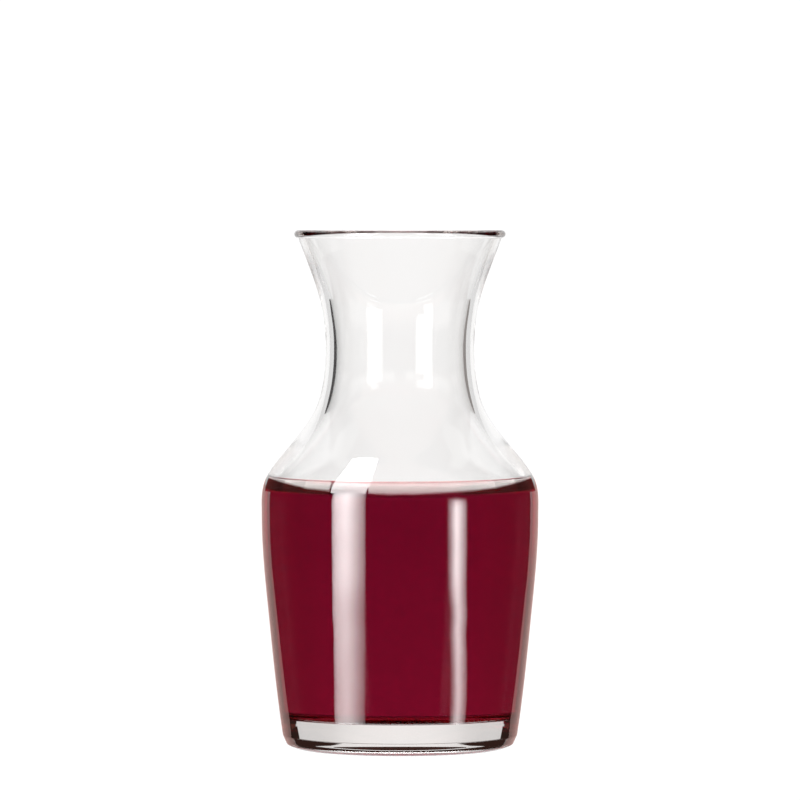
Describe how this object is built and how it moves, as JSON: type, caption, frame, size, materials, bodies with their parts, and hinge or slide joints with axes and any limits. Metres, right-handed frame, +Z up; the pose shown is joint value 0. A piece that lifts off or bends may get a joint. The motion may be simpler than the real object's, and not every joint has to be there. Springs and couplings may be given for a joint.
{
  "type": "wine decanter",
  "caption": "Open-mouthed clear glass decanter with flared lip, drawn-in neck, rounded shoulder and heavy base, part filled with red wine.",
  "frame": {"origin": "centre of the circle the base stands on, on the resting plane", "axes": "+Z up along the axis of revolution, from the base to the mouth; X and Y are equivalent, because every section is round"},
  "size_m": [0.0694, 0.0694, 0.13],
  "materials": {
    "clear_glass": "polished",
    "red_wine": "gloss"
  },
  "bodies": {
    "root": {"glass_vessel": "clear_glass", "red_wine": "red_wine"}
  },
  "joints": []
}
